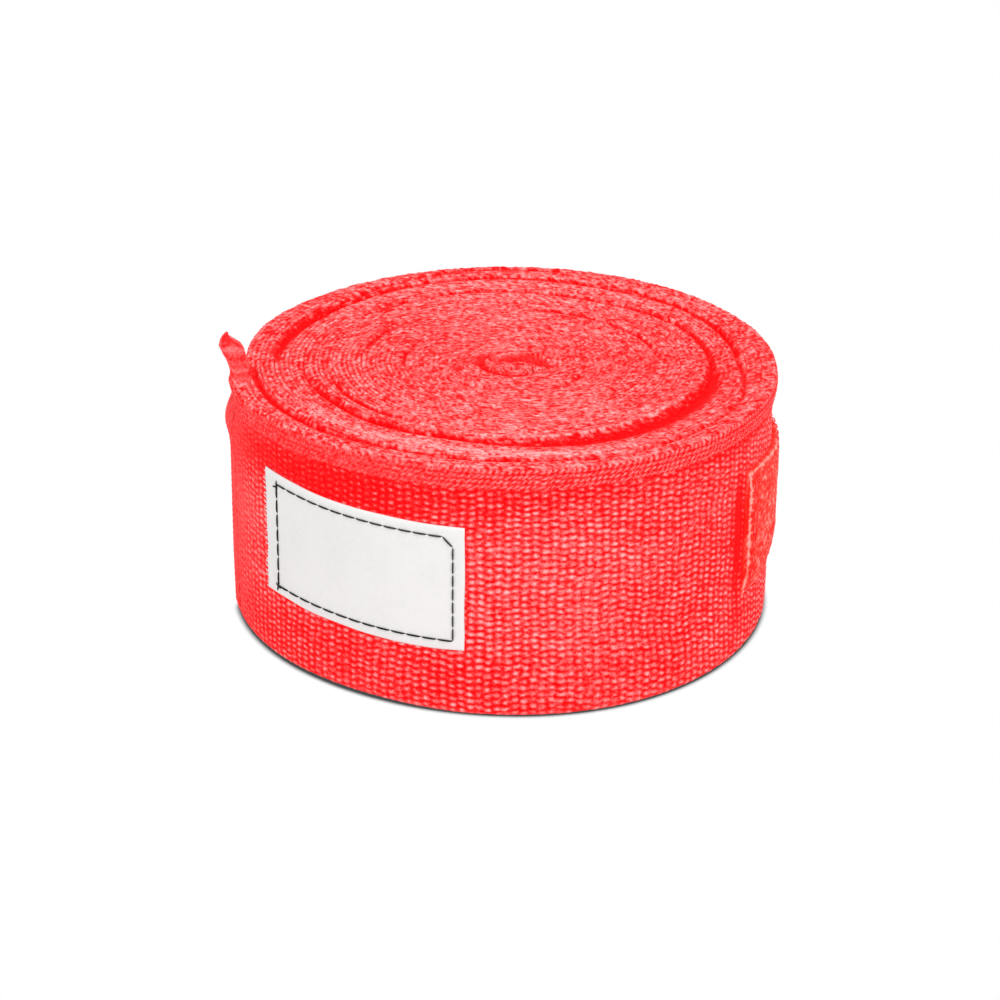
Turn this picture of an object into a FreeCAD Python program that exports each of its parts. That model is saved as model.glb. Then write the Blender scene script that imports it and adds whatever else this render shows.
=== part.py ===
"""A rolled boxing hand wrap, standing on one edge of its strip.

The strip is wound anticlockwise inwards, seen from above. Its inner end holds a thumb loop, rolled
up in the core. Its outer end closes the roll with a hook patch, and carries a bare label outside.

Millimetres. +Z is up and the bottom edge of the winding lies at z = 0. -Y is the label's side.
Bearings are in degrees, anticlockwise from +X, seen from above.
"""
import FreeCAD, Part
import math
import os

# Strip
strip_width = 50.0
cloth_thickness = 1.9

# Winding: half turns whose centres lie on one line across the roll, the seam line. The origin lies
# a share of the way from the outermost half turn's centre to the outer layer's centre.
half_turns = 33
tight_gap = 0.6
loose_gap = 0.98
seam_bearing = -45.0
origin_share = 0.25

# Outer layer: it stands off the winding, to leave room for the hook patch
patch_clearance = 0.6
outer_layer_rise = 0.5
end_bearing = 190.0
fold_bearing = 268.0
hinge_gap = 0.2

# Thumb loop: cloth folded flat, rolled up in the core as half turns that go on from the strip's
loop_cloth_width = 48.0
loop_cloth_thickness = 1.4
thumb_slot = 0.2
loop_half_turns = 3
loop_turn_gap = 0.5
core_hole_radius = 1.2
core_seat = 0.05
sewn_gap = 0.1
sewn_length = 5.0

# End hem and its corner, which sticks up above the edge
hem_length = 9.0
hem_thickness = 1.4
ear_width = 5.0
ear_top_width = 2.6
ear_height = 5.6
ear_lean = 1.5
ear_top_thickness = 1.5

# Label
label_length = 46.0
label_height = 25.0
label_thickness = 0.45
label_lift = 14.0
label_to_fold = 5.5

# Hook patch, inside the outer layer and behind the label
hook_length = 44.0
hook_height = 26.0
hook_thickness = 1.1

# Loop patch, outside the winding
loop_length = 88.0
loop_height = 26.0
loop_thickness = 1.7
loop_bearing = 330.0

# Thread
thread_thickness = 0.35
thread_width = 0.55
stitch_length = 3.6
stitch_pitch = 5.2
stitch_inset = 2.2
hem_stitch_inset = 6.5
thread_seat = 0.04
bar_tack_bars = 5
bar_tack_height = 12.0
bar_tack_pitch = 0.8

UP = FreeCAD.Vector(0, 0, 1)


# ---------------------------------------------------------------- geometry

def polar(centre, radius, bearing, z=0.0):
    """The point at a radius and bearing round a centre."""
    angle = math.radians(bearing)
    return FreeCAD.Vector(centre.x + radius * math.cos(angle), centre.y + radius * math.sin(angle), z)


def degrees_along(length, radius):
    """The angle that a length takes up on a curve."""
    return math.degrees(length / radius)


def arc_edge(centre, radius, start, sweep):
    """An arc round a centre, through its own middle."""
    points = [polar(centre, radius, start + sweep * share) for share in (0.0, 0.5, 1.0)]
    return Part.Arc(*points).toShape()


def side_edges(path, offset):
    """One side of a ribbon that follows a path of tangent arcs, at an offset to the path's left."""
    edges = []
    for centre, radius, start, sweep in path:
        side_radius = radius - offset if sweep > 0 else radius + offset
        edges.append(arc_edge(centre, side_radius, start, sweep))
    return edges


def turned_back(path):
    """The same path, walked from its far end."""
    return [(centre, radius, start + sweep, -sweep) for centre, radius, start, sweep in reversed(path)]


def ribbon_outline(path, left, right, round_end=False):
    """The closed outline of a ribbon between two offsets. Its far end is square or half-round."""
    there = side_edges(path, left)
    back = side_edges(turned_back(path), -right)
    first, second = there[-1].lastVertex().Point, back[0].firstVertex().Point
    if round_end:
        forward = (second - first).cross(UP) * -0.5
        end = Part.Arc(first, (first + second) * 0.5 + forward, second).toShape()
    else:
        end = Part.LineSegment(first, second).toShape()
    start = Part.LineSegment(back[-1].lastVertex().Point, there[0].firstVertex().Point).toShape()
    return Part.Wire(there + [end] + back + [start])


def raised(outline, low, high, hole=None):
    """A solid with a flat outline, from one height to another."""
    face = Part.Face([outline, hole]) if hole else Part.Face(outline)
    face.translate(UP * low)
    return face.extrude(UP * (high - low))


def band(centre, inner, outer, start, end, low, high):
    """A curved sheet between two radii, two bearings and two heights."""
    path = [(centre, inner, start, end - start)]
    return raised(ribbon_outline(path, 0.0, inner - outer), low, high)


# ---------------------------------------------------------------- winding

loop_stack = 2 * loop_cloth_thickness + thumb_slot


def loop_radius(number):
    """The middle radius of one of the thumb loop's half turns, counted from its sewn end."""
    inner_half_turns = loop_half_turns - 1 - number
    return core_hole_radius + loop_stack / 2 + inner_half_turns * (loop_stack + loop_turn_gap) / 2


class Winding:
    """Where every half turn of the strip runs, from the core to the outer layer.

    Crossing number k is where the strip's inner face crosses the seam line, at a distance from the
    innermost half turn's centre line. Odd and even crossings lie on opposite sides.
    """

    def __init__(self):
        mean_pitch = cloth_thickness + (tight_gap + loose_gap) / 2
        core_radius = loop_radius(0) + loop_stack / 2 + core_seat - (cloth_thickness + self.gap(2)) / 2
        self.distances = [core_radius - mean_pitch / 4, core_radius + mean_pitch / 4]
        hook_room = hook_thickness + patch_clearance - tight_gap
        for k in range(2, half_turns + 2):
            room = hook_room if k >= half_turns else 0.0
            self.distances.append(self.distances[k - 2] + cloth_thickness + self.gap(k) + room)
        winding_middle = self.middle(half_turns - 1)
        layer_middle = self.middle(half_turns)
        self.shift = -winding_middle - origin_share * (layer_middle - winding_middle)
        self.radius = self.inner_radius(half_turns - 1) + cloth_thickness
        self.outer_layer_centre = self.centre(half_turns)
        self.outer_layer_radius = self.inner_radius(half_turns) + cloth_thickness

    def side(self, k):
        """+1 where crossing k lies at the seam's own bearing, -1 where it lies opposite."""
        return 1 if (half_turns - k) % 2 == 0 else -1

    def gap(self, k):
        """The gap inside the strip at crossing k."""
        return tight_gap if self.side(k) > 0 else loose_gap

    def middle(self, k):
        """How far along the seam line the centre of half turn k lies, from the core's datum."""
        return self.side(k) * (self.distances[k] - self.distances[k + 1]) / 2

    def inner_radius(self, k):
        return (self.distances[k] + self.distances[k + 1]) / 2

    def centre(self, k):
        """The centre of half turn k."""
        return polar(FreeCAD.Vector(0, 0, 0), self.middle(k) + self.shift, seam_bearing)

    def bearing(self, k):
        """The bearing of crossing k."""
        return seam_bearing if self.side(k) > 0 else seam_bearing + 180.0

    def path(self):
        """The inner face of the roll's strip, from its outer end to its inner end."""
        arcs = []
        for k in reversed(range(half_turns)):
            arcs.append((self.centre(k), self.inner_radius(k), self.bearing(k + 1), 180.0))
        return arcs


winding = Winding()
layer_centre = winding.outer_layer_centre
layer_radius = winding.outer_layer_radius
layer_inside = layer_radius - cloth_thickness
layer_low = outer_layer_rise
layer_high = outer_layer_rise + strip_width
patch_middle = strip_width / 2


def wound_strip():
    """The strip from the peeling hinge to the core, as one spiral band."""
    return raised(ribbon_outline(winding.path(), 0.0, -cloth_thickness), 0.0, strip_width)


# ---------------------------------------------------------------- thumb loop

def thumb_loop_path(first_length):
    """The loop's middle line, from a length past the strip's inner end to the loop's folded end."""
    bearing = winding.bearing(0)
    centre = winding.centre(1)
    skipped = degrees_along(first_length, loop_radius(0))
    arcs = [(centre, loop_radius(0), bearing + skipped, 180.0 - skipped)]
    for number in range(1, loop_half_turns):
        bearing += 180.0
        centre = polar(centre, loop_radius(number - 1) - loop_radius(number), bearing)
        arcs.append((centre, loop_radius(number), bearing, 180.0))
    return arcs


def thumb_loop():
    """Cloth folded flat and sewn together beside the strip's end, with the slot that the thumb opens."""
    outline = ribbon_outline(thumb_loop_path(sewn_gap), loop_stack / 2, -loop_stack / 2, True)
    slot = ribbon_outline(thumb_loop_path(sewn_length), thumb_slot / 2, -thumb_slot / 2, True)
    low = (strip_width - loop_cloth_width) / 2
    return raised(outline, low, low + loop_cloth_width, slot)


def thumb_loop_bar_tack():
    """A row of upright bars that sews the loop's two layers together at its end."""
    centre, radius, start, _ = thumb_loop_path(sewn_length / 2)[0]
    face_radius = radius - loop_stack / 2
    step = degrees_along(bar_tack_pitch, face_radius)
    bars = []
    for number in range(bar_tack_bars):
        bearing = start + (number - (bar_tack_bars - 1) / 2) * step
        bars.append(stitch(centre, face_radius, -1, bearing, strip_width / 2, bar_tack_height, True))
    return Part.makeCompound(bars)


# ---------------------------------------------------------------- stitches

def stitch(centre, face_radius, outward, bearing, middle, length, upright):
    """One straight stitch on a curved face. outward is +1 on its outside and -1 on its inside."""
    along = thread_width if upright else length
    tall = length if upright else thread_width
    bar = Part.makeBox(thread_thickness, along, tall)
    reach = face_radius + outward * (thread_seat + thread_thickness / 2)
    bar.translate(FreeCAD.Vector(reach - thread_thickness / 2, -along / 2, -tall / 2))
    bar.rotate(FreeCAD.Vector(0, 0, 0), UP, bearing)
    bar.translate(centre + UP * middle)
    return bar


def spread(first, last, pitch):
    """Evenly spaced places from first to last, about one pitch apart."""
    count = max(2, round(abs(last - first) / pitch) + 1)
    return [first + (last - first) * number / (count - 1) for number in range(count)]


def stitched_frame(centre, face_radius, outward, start, end, low, high):
    """Stitches round a patch, set in from its edges."""
    inset = degrees_along(stitch_inset, face_radius)
    corner = degrees_along(stitch_inset + stitch_pitch / 2, face_radius)
    pitch = degrees_along(stitch_pitch, face_radius)
    bars = []
    for bearing in spread(start + corner, end - corner, pitch):
        for level in (low + stitch_inset, high - stitch_inset):
            bars.append(stitch(centre, face_radius, outward, bearing, level, stitch_length, False))
    edge = stitch_inset + stitch_pitch / 2
    for level in spread(low + edge, high - edge, stitch_pitch):
        for bearing in (start + inset, end - inset):
            bars.append(stitch(centre, face_radius, outward, bearing, level, stitch_length, True))
    return Part.makeCompound(bars)


# ---------------------------------------------------------------- loop patch

def loop_span():
    """The bearings between which the loop patch lies."""
    return loop_bearing, loop_bearing + degrees_along(loop_length, winding.radius)


def loop_patch():
    low = patch_middle - loop_height / 2
    centre = winding.centre(half_turns - 1)
    return band(centre, winding.radius, winding.radius + loop_thickness, *loop_span(),
                low, low + loop_height)


def loop_patch_stitching():
    low = patch_middle - loop_height / 2
    centre = winding.centre(half_turns - 1)
    return stitched_frame(centre, winding.radius + loop_thickness, 1, *loop_span(),
                          low, low + loop_height)


# ---------------------------------------------------------------- outer layer

def strip_lead():
    """The first stretch of the outer layer that peels off, from the roll to the closure."""
    gap = degrees_along(hinge_gap, layer_radius)
    end = seam_bearing + 360.0 - gap
    return band(layer_centre, layer_inside, layer_radius, fold_bearing, end, layer_low, layer_high)


def closure_end():
    """The last stretch of the strip, which carries the label and the hook patch."""
    gap = degrees_along(hinge_gap, layer_radius)
    return band(layer_centre, layer_inside, layer_radius, end_bearing, fold_bearing - gap,
                layer_low, layer_high)


def end_hem():
    """The strip's end turned inwards, with its upper corner sticking up."""
    hem_inside = layer_inside - hem_thickness
    sweep = degrees_along(hem_length, layer_inside)
    outer_corner = polar(layer_centre, layer_radius, end_bearing)
    inner_corner = polar(layer_centre, hem_inside, end_bearing)
    fold_radius = (layer_radius - hem_inside) / 2
    outwards = polar(FreeCAD.Vector(0, 0, 0), 1.0, end_bearing - 90.0)
    fold_tip = (outer_corner + inner_corner) * 0.5 + outwards * fold_radius
    far_inner = polar(layer_centre, hem_inside, end_bearing + sweep)
    far_outer = polar(layer_centre, layer_inside, end_bearing + sweep)
    step_corner = polar(layer_centre, layer_inside, end_bearing)
    outline = Part.Wire([
        Part.Arc(outer_corner, fold_tip, inner_corner).toShape(),
        arc_edge(layer_centre, hem_inside, end_bearing, sweep),
        Part.LineSegment(far_inner, far_outer).toShape(),
        arc_edge(layer_centre, layer_inside, end_bearing + sweep, -sweep),
        Part.LineSegment(step_corner, outer_corner).toShape(),
    ])
    hem = raised(outline, layer_low, layer_high)
    return hem.fuse(ear()).removeSplitter()


def ear_corners(inner, outer, width, height):
    """The corners of a level four-sided section through the ear."""
    middle = end_bearing + degrees_along(ear_width / 2, layer_radius)
    across = polar(FreeCAD.Vector(0, 0, 0), width / 2, middle + 90.0)
    inner_middle = polar(layer_centre, inner, middle, height)
    outer_middle = polar(layer_centre, outer, middle, height)
    return [inner_middle - across, outer_middle - across, outer_middle + across, inner_middle + across]


def ear():
    """The hem's folded corner, leaning away from the roll, as a solid with flat sides."""
    inner = layer_inside - hem_thickness
    top_outer = layer_radius + ear_lean
    base = ear_corners(inner, layer_radius, ear_width, layer_high)
    top = ear_corners(top_outer - ear_top_thickness, top_outer, ear_top_width, layer_high + ear_height)
    loops = [base, top]
    for i in range(len(base)):
        following = (i + 1) % len(base)
        loops.append([base[i], base[following], top[following], top[i]])
    faces = [Part.Face(Part.makePolygon(loop + loop[:1])) for loop in loops]
    return Part.Solid(Part.Shell(faces))


def end_hem_stitching():
    """One upright row through the hem."""
    bearing = end_bearing + degrees_along(hem_stitch_inset, layer_radius)
    edge = stitch_inset + stitch_pitch / 2
    levels = spread(layer_low + edge, layer_high - edge, stitch_pitch)
    bars = [stitch(layer_centre, layer_radius, 1, bearing, z, stitch_length, True) for z in levels]
    return Part.makeCompound(bars)


# ---------------------------------------------------------------- label and hook patch

def label_span():
    """The bearings between which the label lies."""
    end = fold_bearing - degrees_along(label_to_fold, layer_radius)
    return end - degrees_along(label_length, layer_radius), end


def label():
    return band(layer_centre, layer_radius, layer_radius + label_thickness, *label_span(),
                label_lift, label_lift + label_height)


def label_stitching():
    return stitched_frame(layer_centre, layer_radius + label_thickness, 1, *label_span(),
                          label_lift, label_lift + label_height)


def hook_span():
    """The bearings between which the hook patch lies: behind the middle of the label."""
    middle = sum(label_span()) / 2
    reach = degrees_along(hook_length / 2, layer_inside)
    return middle - reach, middle + reach


def hook_patch():
    low = outer_layer_rise + patch_middle - hook_height / 2
    return band(layer_centre, layer_inside - hook_thickness, layer_inside, *hook_span(),
                low, low + hook_height)


def hook_patch_stitching():
    low = outer_layer_rise + patch_middle - hook_height / 2
    return stitched_frame(layer_centre, layer_inside - hook_thickness, -1, *hook_span(),
                          low, low + hook_height)


# ---------------------------------------------------------------- output

PIECES = {
    "wound_strip": wound_strip,
    "thumb_loop": thumb_loop,
    "thumb_loop_bar_tack": thumb_loop_bar_tack,
    "loop_patch": loop_patch,
    "loop_patch_stitching": loop_patch_stitching,
    "strip_lead": strip_lead,
    "closure_end": closure_end,
    "end_hem": end_hem,
    "end_hem_stitching": end_hem_stitching,
    "label": label,
    "label_stitching": label_stitching,
    "hook_patch": hook_patch,
    "hook_patch_stitching": hook_patch_stitching,
}


def report_sizes():
    """The sizes that the record states."""
    wound_length = sum(math.pi * (radius + cloth_thickness / 2) for _, radius, _, _ in winding.path())
    layer_length = math.radians(seam_bearing + 360.0 - end_bearing) * (layer_radius - cloth_thickness / 2)
    peel = polar(layer_centre, layer_radius, seam_bearing)
    fold = polar(layer_centre, layer_radius, fold_bearing)
    print(f"roll radius {winding.radius:.2f}, outer layer radius {layer_radius:.2f}")
    print(f"strip length {wound_length + layer_length:.0f}")
    loop_length = sum(radius * math.radians(sweep) for _, radius, _, sweep in thumb_loop_path(sewn_gap))
    print(f"thumb loop round {2 * loop_length:.0f}")
    print(f"peeling hinge at {peel.x:.3f}, {peel.y:.3f}")
    print(f"closure hinge at {fold.x:.3f}, {fold.y:.3f}")


def main():
    os.makedirs("parts", exist_ok=True)
    for name, make in PIECES.items():
        make().exportStep(f"parts/{name}.step")
    report_sizes()


main()
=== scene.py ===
"""A rolled boxing hand wrap: its woven, sewn and piled surfaces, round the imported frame.

Lengths are in millimetres and turned into metres where a mesh is made. Bearings are in degrees,
anticlockwise from +X, seen from above. "turn" is the angle that the strip has wound through, counted
from the closure's end, so the strip's bearing is end_bearing + turn.
"""

import math

import bpy
import numpy as np
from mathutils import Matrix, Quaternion, Vector


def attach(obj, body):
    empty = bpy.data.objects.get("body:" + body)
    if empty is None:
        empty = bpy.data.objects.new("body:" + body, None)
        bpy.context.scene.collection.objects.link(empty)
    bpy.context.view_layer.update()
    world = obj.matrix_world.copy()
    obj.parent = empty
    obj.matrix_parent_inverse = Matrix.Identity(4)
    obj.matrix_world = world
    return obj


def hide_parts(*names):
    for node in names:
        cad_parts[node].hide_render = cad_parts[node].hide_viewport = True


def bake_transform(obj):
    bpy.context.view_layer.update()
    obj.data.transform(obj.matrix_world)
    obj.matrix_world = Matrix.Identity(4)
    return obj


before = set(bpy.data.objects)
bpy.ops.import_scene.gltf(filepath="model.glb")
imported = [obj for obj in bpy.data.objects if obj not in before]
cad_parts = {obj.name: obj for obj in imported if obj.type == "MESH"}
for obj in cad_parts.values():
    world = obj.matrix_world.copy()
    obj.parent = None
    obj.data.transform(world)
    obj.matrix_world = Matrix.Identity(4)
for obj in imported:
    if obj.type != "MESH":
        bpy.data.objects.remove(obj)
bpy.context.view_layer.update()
MM = 0.001

# Strip and winding, as in the CAD model
strip_width = 50.0
cloth = 1.9
half_turns = 33
tight_gap = 0.6
loose_gap = 0.98
seam_bearing = -45.0
origin_share = 0.25
patch_clearance = 0.6
outer_layer_rise = 0.5
end_bearing = 190.0
fold_bearing = 268.0
hinge_bearing = 315.0
hook_thickness = 1.1
loop_cloth_width = 48.0
loop_cloth = 1.4
thumb_slot = 0.2
loop_half_turns = 3
loop_turn_gap = 0.5
core_hole_radius = 1.2
core_seat = 0.05
sewn_gap = 0.1
sewn_length = 5.0

# Sewn parts, as in the CAD model
hem_length = 9.0
hem_thickness = 1.4
label_length = 46.0
label_height = 25.0
label_thickness = 0.45
label_lift = 14.0
label_to_fold = 5.5
hook_length = 44.0
hook_height = 26.0
loop_length = 88.0
loop_height = 26.0
loop_thickness = 1.7
loop_bearing = 330.0
bar_tack_height = 12.0

# Weave
column_pitch = 1.65
float_pitch = 1.31
float_slant = 0.08
weave_relief = 0.18
row_slip = 22.0
front_bearing = 270.0
cord_pitch = 1.0
cord_rows = 4
rib_pitch = 1.15
top_ridges = 3

# Where the outer layer's own arc ends, and the seams between the strip's pieces, as turns
flap_sweep = hinge_bearing - end_bearing
seam_turn = 101.0
lead_start_turn = 133.0
winding_split_turn = 2300.0
hinge_half_turn = 4.5


# ---- numbers

def smooth(low, high, value):
    """0 below low, 1 above high, and a smooth step between."""
    t = np.clip((value - low) / (high - low), 0.0, 1.0)
    return t * t * (3 - 2 * t)


def bump(value, middle, half_width):
    """1 at the middle, falling smoothly to 0."""
    return np.exp(-((value - middle) / half_width) ** 2)


def hashed(i, j, seed):
    """A repeatable number from 0 to 1 for each pair of whole numbers."""
    mixed = np.asarray(i).astype(np.int64) * 374761393 + np.asarray(j).astype(np.int64) * 668265263
    mixed = (mixed + seed * 1442695041) & 0x7FFFFFFF
    mixed = ((mixed ^ (mixed >> 13)) * 1274126177) & 0x7FFFFFFF
    return ((mixed ^ (mixed >> 16)) & 0xFFFF) / 65535.0


def noise(x, y, seed):
    """Smooth repeatable noise from 0 to 1, with features one unit wide."""
    x, y = np.broadcast_arrays(x, y)
    i, j = np.floor(x), np.floor(y)
    u, v = x - i, y - j
    u, v = u * u * (3 - 2 * u), v * v * (3 - 2 * v)
    near = hashed(i, j, seed) * (1 - u) + hashed(i + 1, j, seed) * u
    far = hashed(i, j + 1, seed) * (1 - u) + hashed(i + 1, j + 1, seed) * u
    return near * (1 - v) + far * v


# ---- meshes

def loft(points, level, capped=True):
    """Faces through a grid of sections, each of them a closed loop: points is (sections, loop, 3)."""
    sections, loop = points.shape[:2]
    start = np.arange(sections - 1)[:, None] * loop
    here = np.arange(loop)[None, :]
    after = (here + 1) % loop
    quads = np.stack([start + here, start + after, start + loop + after, start + loop + here], -1)
    caps = []
    if capped:
        caps = [np.arange(loop)[::-1], np.arange(loop) + (sections - 1) * loop]
    return points.reshape(-1, 3), quads.reshape(-1, 4), caps, np.asarray(level).reshape(-1)


def signed_volume(points, quads, caps):
    """Positive where the faces look outwards."""
    fans = [quads[:, [0, 1, 2]], quads[:, [0, 2, 3]]]
    for cap in caps:
        fans.append(np.stack([np.full(len(cap) - 2, cap[0]), cap[1:-1], cap[2:]], -1))
    a, b, c = (points[np.concatenate(fans)[:, i]] for i in range(3))
    return float((a * np.cross(b, c)).sum())


def make_piece(name, shapes, slot, node, body=None):
    """One object from closed shapes, with every face outwards and its shade in the level attribute.

    slot names its look and node the node that it stands in for. body carries it, if one is given.
    """
    all_points, corners, sizes, levels, count = [], [], [], [], 0
    for points, quads, caps, level in shapes:
        if signed_volume(points - points.mean(0), quads, caps) < 0:
            quads, caps = quads[:, ::-1], [cap[::-1] for cap in caps]
        all_points.append(points)
        levels.append(level)
        corners.append((quads + count).ravel())
        sizes.append(np.full(len(quads), 4))
        for cap in caps:
            corners.append(cap + count)
            sizes.append(np.array([len(cap)]))
        count += len(points)
    corners, sizes = np.concatenate(corners), np.concatenate(sizes)
    mesh = bpy.data.meshes.new(name)
    mesh.vertices.add(count)
    mesh.vertices.foreach_set("co", (np.concatenate(all_points) * MM).astype(np.float32).ravel())
    mesh.loops.add(len(corners))
    mesh.loops.foreach_set("vertex_index", corners.astype(np.int32))
    mesh.polygons.add(len(sizes))
    mesh.polygons.foreach_set("loop_start", (np.cumsum(sizes) - sizes).astype(np.int32))
    mesh.update(calc_edges=True)
    mesh.shade_smooth()
    attribute = mesh.attributes.new("level", "FLOAT", "POINT")
    attribute.data.foreach_set("value", np.clip(np.concatenate(levels), 0, 1).astype(np.float32))
    mesh.materials.append(looks[slot])
    piece = bpy.data.objects.new(name, mesh)
    bpy.context.scene.collection.objects.link(piece)
    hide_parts(node)
    if body:
        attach(piece, body)
    return piece


# ---- winding

loop_stack = 2 * loop_cloth + thumb_slot
hook_room = hook_thickness + patch_clearance - tight_gap
spread_overlap = 0.1


def side(k):
    """+1 where crossing k of the seam line lies at the seam's bearing, -1 where it lies opposite."""
    return 1 if (half_turns - k) % 2 == 0 else -1


def gap_at(k):
    """The gap inside the strip at crossing k."""
    return tight_gap if side(k) > 0 else loose_gap


def loop_radius(number):
    """The middle radius of one of the thumb loop's half turns, counted from its sewn end."""
    inner_half_turns = loop_half_turns - 1 - number
    return core_hole_radius + loop_stack / 2 + inner_half_turns * (loop_stack + loop_turn_gap) / 2


def wind():
    """The centre and inner radius of each half turn. The last one is the outer layer."""
    mean_pitch = cloth + (tight_gap + loose_gap) / 2
    core_radius = loop_radius(0) + loop_stack / 2 + core_seat - (cloth + gap_at(2)) / 2
    distances = [core_radius - mean_pitch / 4, core_radius + mean_pitch / 4]
    for k in range(2, half_turns + 2):
        room = hook_room if k >= half_turns else 0.0
        distances.append(distances[k - 2] + cloth + gap_at(k) + room)
    inner = [(distances[k] + distances[k + 1]) / 2 for k in range(half_turns + 1)]
    middle = [side(k) * (distances[k] - distances[k + 1]) / 2 for k in range(half_turns + 1)]
    shift = -middle[-2] - origin_share * (middle[-1] - middle[-2])
    seam = math.radians(seam_bearing)
    centres = [((m + shift) * math.cos(seam), (m + shift) * math.sin(seam)) for m in middle]
    return np.array(centres), np.array(inner)


centres, inner_radii = wind()
layer_centre = centres[half_turns]
layer_radius = inner_radii[half_turns] + cloth
roll_radius = inner_radii[half_turns - 1] + cloth
last_turn = flap_sweep + 180.0 * half_turns


def half_turn_of(turn):
    """Which half turn the strip is on. The outer layer counts as one."""
    wound = half_turns - 1 - np.floor((turn - flap_sweep) / 180.0).astype(int)
    return np.where(turn < flap_sweep, half_turns, np.maximum(wound, 0))


def length_at(turn):
    """How far along the strip's middle a turn lies, from the closure's end."""
    marks = np.concatenate([[0.0], flap_sweep + 180.0 * np.arange(half_turns + 1)])
    radii = inner_radii[::-1] + cloth / 2
    lengths = np.concatenate([[0.0], np.cumsum(np.radians(np.diff(marks)) * radii)])
    return np.interp(turn, marks, lengths)


def turn_at(length):
    """The turn at a length along the strip."""
    marks = np.concatenate([[0.0], flap_sweep + 180.0 * np.arange(half_turns + 1)])
    return np.interp(length, length_at(marks), marks)


def on_winding(turn, offset, height):
    """Points at turns, offsets outwards from the strip's inner face, and heights."""
    k = half_turn_of(turn)
    angle = np.radians(end_bearing + turn)
    reach = inner_radii[k] + offset
    x = centres[k, 0] + reach * np.cos(angle)
    y = centres[k, 1] + reach * np.sin(angle)
    return np.stack(np.broadcast_arrays(x, y, height), -1)


def on_layer(bearing, reach, height, centre=layer_centre):
    """Points round the outer layer's centre."""
    angle = np.radians(bearing)
    x = centre[0] + reach * np.cos(angle)
    y = centre[1] + reach * np.sin(angle)
    return np.stack(np.broadcast_arrays(x, y, height), -1)


def degrees_along(length, radius):
    return math.degrees(length / radius)


# ---- cloth

def row_drop(along):
    """How far the weave's rows have slipped down, to the right of the front."""
    past_front = along / layer_radius - math.radians(front_bearing - end_bearing)
    return row_slip * (1 - np.cos(np.clip(past_front, 0.0, math.radians(75))))


def weave(along, height):
    """How high the weave is and how light it is painted, from 0 to 1: columns of short floats, painted
    lighter where they stand out and darker in the gaps, as painted highlight and shade.
    """
    height = height + row_drop(along)
    column = along / column_pitch + 0.5 * (noise(along / 11, height / 6, 1) - 0.5)
    index = np.floor(column)
    across = column - index
    row = (height - float_slant * column_pitch * (across - 0.5)) / float_pitch
    row = row + 0.22 * (index % 2) + 0.9 * (noise(along / 6, height / 11, 2) - 0.5)
    within = row - np.floor(row)
    chance = hashed(index, np.floor(row), 3)
    body = 0.3 + 0.7 * np.sin(np.pi * across) ** (1.4 + 1.2 * hashed(index, np.floor(row), 7))
    dash = body * np.sin(np.pi * within) ** (1.0 + 0.8 * chance)
    return dash, chance


def cords(along, below_top):
    """The selvedge: a few cords along the edge, each with slanted ribs."""
    row = below_top / cord_pitch
    within = row - np.floor(row)
    lean = np.where(np.floor(row) % 2 == 0, 0.9, 1.2)
    rib = along / rib_pitch + lean * within + 0.37 * np.floor(row) + 0.6 * noise(along / 2, row / 2, 9)
    return np.sin(np.pi * within) ** 0.6 * (0.55 + 0.45 * np.sin(2 * np.pi * rib))


# Painted shade on the side, such as under the right rim's overhang and in the gap left of the loop
# patch, and one lighter patch: bearing, height, half width in degrees, half height, change
painted_side_shading = [
    (234.0, 42.0, 30.0, 7.5, -0.34),
    (226.0, 7.0, 26.0, 9.0, -0.14),
    (282.0, 44.5, 26.0, 2.4, -0.12),
    (335.0, 46.2, 24.0, 1.4, -0.4),
    (314.0, 28.0, 22.0, 30.0, -0.06),
    (262.0, 6.0, 20.0, 6.0, -0.06),
    (290.0, 26.0, 14.0, 14.0, 0.06),
    (327.6, 24.0, 1.8, 11.5, -0.9),
]


def side_look(turn, height, top):
    """The relief and shade of the strip's outward face, with painted highlight on the raised floats and
    selvedge ribs, painted shade between them, and patches of painted shade.
    """
    along = length_at(turn)
    bearing = (end_bearing + turn) % 360
    dash, chance = weave(along, height)
    plain = 0.85 * bump(turn, 5.0, 14.0) + 0.5 * bump(turn, 36.0, 24.0) * smooth(35, 41, height)
    contrast = (0.75 + 0.5 * noise(along / 23, height / 17, 4)) * (1 - plain)
    # The floats are painted lighter where they stand out and darker in the gaps: painted highlight and
    # shade, with a tone that differs at random per float.
    level = 0.4 + contrast * (0.72 * (dash - 0.38) + 0.35 * (chance - 0.5) * dash)
    level = level + 0.12 * (noise(along / 9, height / 7, 5) - 0.5)
    level = level + 0.5 * (1 - plain) * (noise(along * 1.9, height * 2.9, 6) - 0.5)
    # Patches of painted shade, and one lighter patch, from the table above
    for middle, level_height, half_width, half_height, change in painted_side_shading:
        painted_shade_spot = change * bump(bearing, middle, half_width)
        level = level + painted_shade_spot * bump(height, level_height, half_height)
    relief = weave_relief * dash * (1 - 0.6 * plain)
    edge = smooth(cord_rows * cord_pitch + 0.3, cord_rows * cord_pitch - 0.3, top - height)
    selvedge = cords(along, top - height)
    relief = relief * (1 - edge) + edge * 0.24 * selvedge
    speck = noise(along * 1.7, height * 2.6, 8)
    ribbed = 0.3 + 0.55 * smooth(240, 275, bearing)
    # The selvedge's ribs are painted lighter where they stand up and darker between them: painted
    # highlight and shade.
    level = level * (1 - edge) + edge * (0.34 + ribbed * (selvedge - 0.42) + 0.3 * (speck - 0.5))
    return relief, level
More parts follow.
